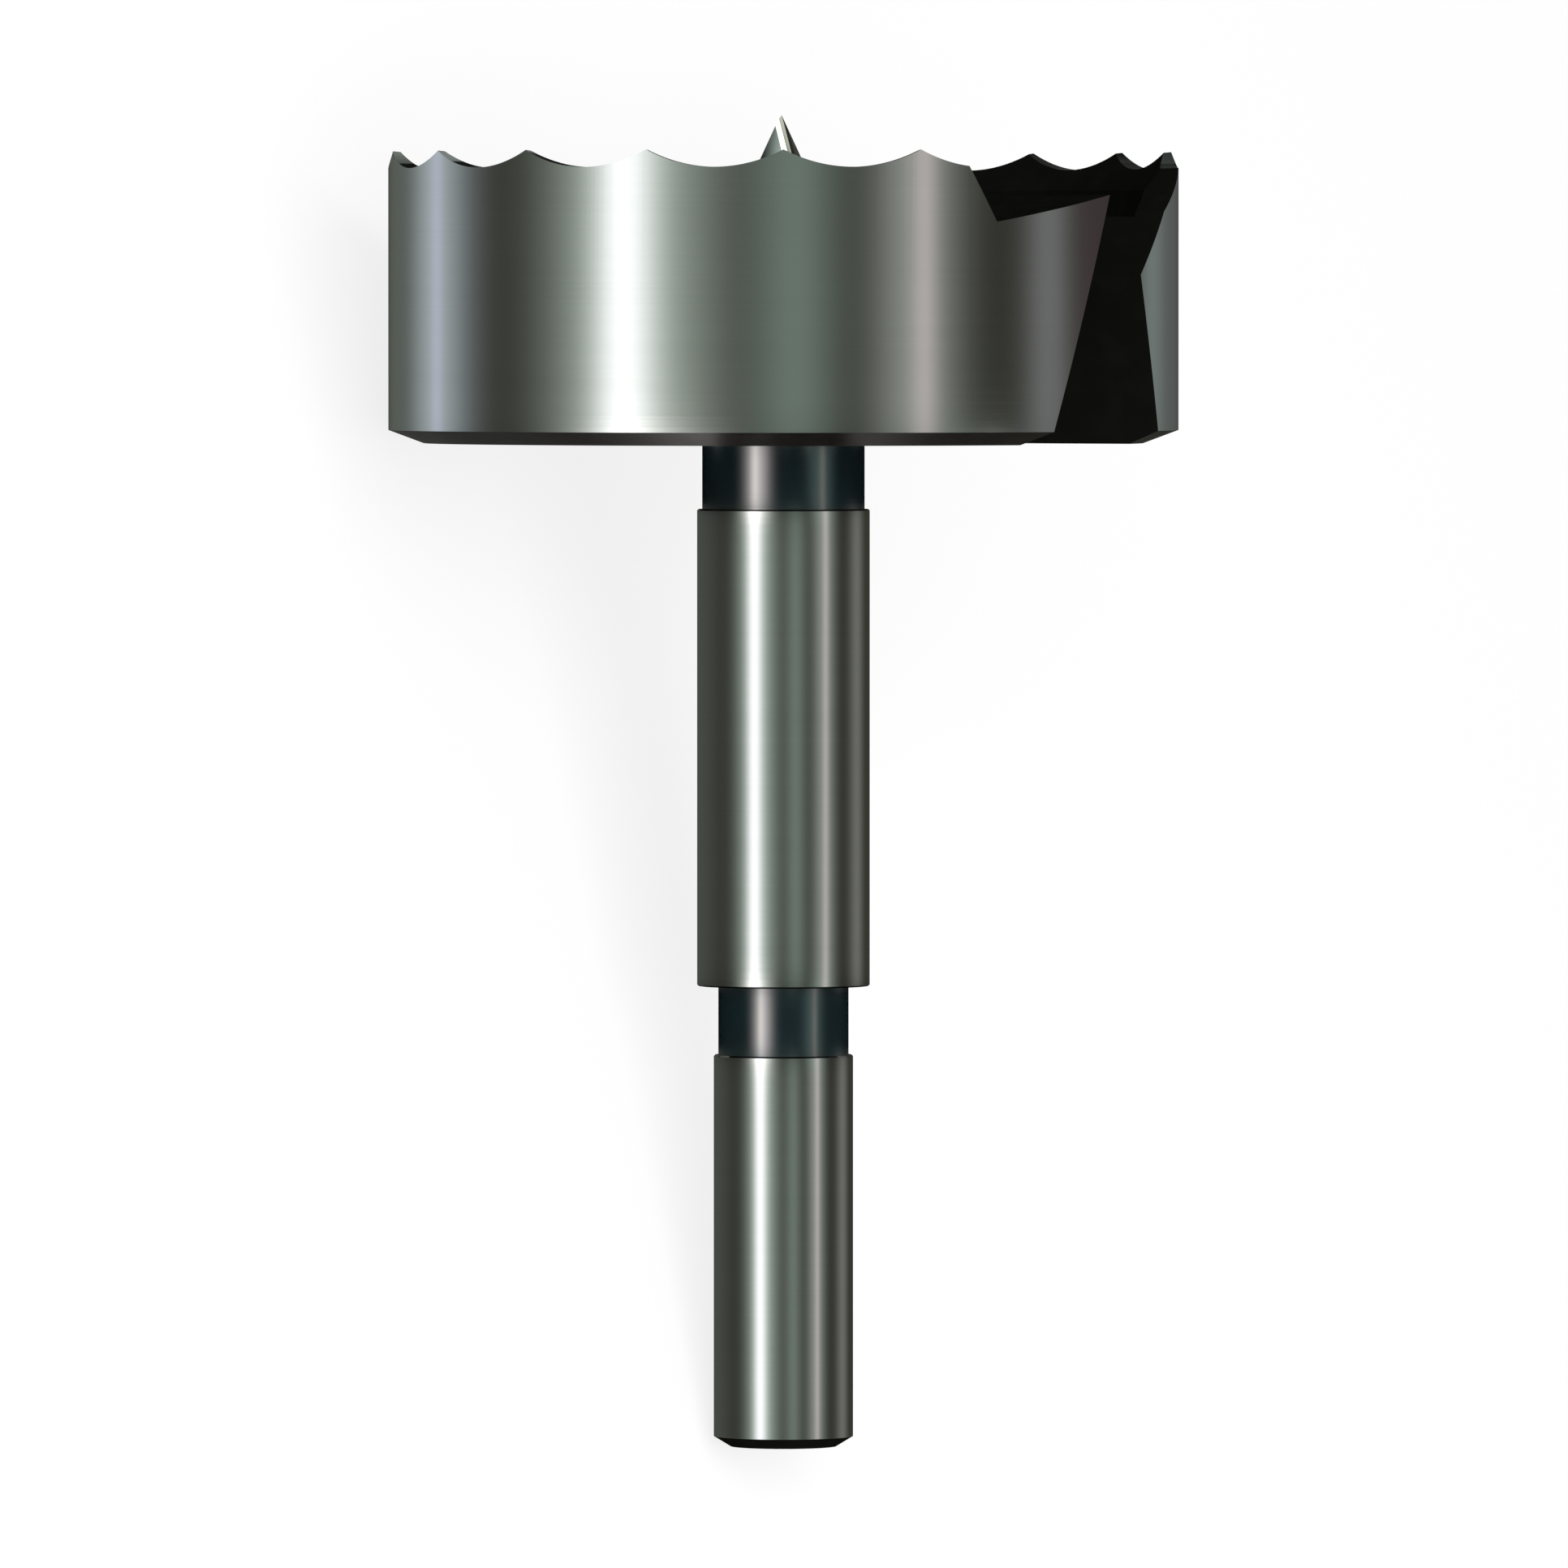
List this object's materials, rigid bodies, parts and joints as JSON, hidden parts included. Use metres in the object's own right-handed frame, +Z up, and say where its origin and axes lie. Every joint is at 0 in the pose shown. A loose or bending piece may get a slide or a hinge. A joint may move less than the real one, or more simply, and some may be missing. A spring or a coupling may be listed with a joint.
{
  "type": "forstner bit",
  "caption": "Wide flat-bottomed wood boring bit with a scalloped rim, chip throats, a short centre point and a stepped round shank, lying on its side.",
  "frame": {"origin": "on the bench, under the middle of the bit as it lies", "axes": "+X from the shank's end towards the centre point, level; +Z up; the bit's own axis rises 17.3 degrees from +X because the wide head lies on two corners of a chip throat and the shank on its end"},
  "size_m": [0.092, 0.054, 0.0555],
  "materials": {
    "tool_steel": "ground bright on the shank, the collar and the head's wall, blued in the necks and blackened under and inside the head"
  },
  "bodies": {
    "root": {"forstner_bit": "tool_steel"}
  },
  "joints": []
}
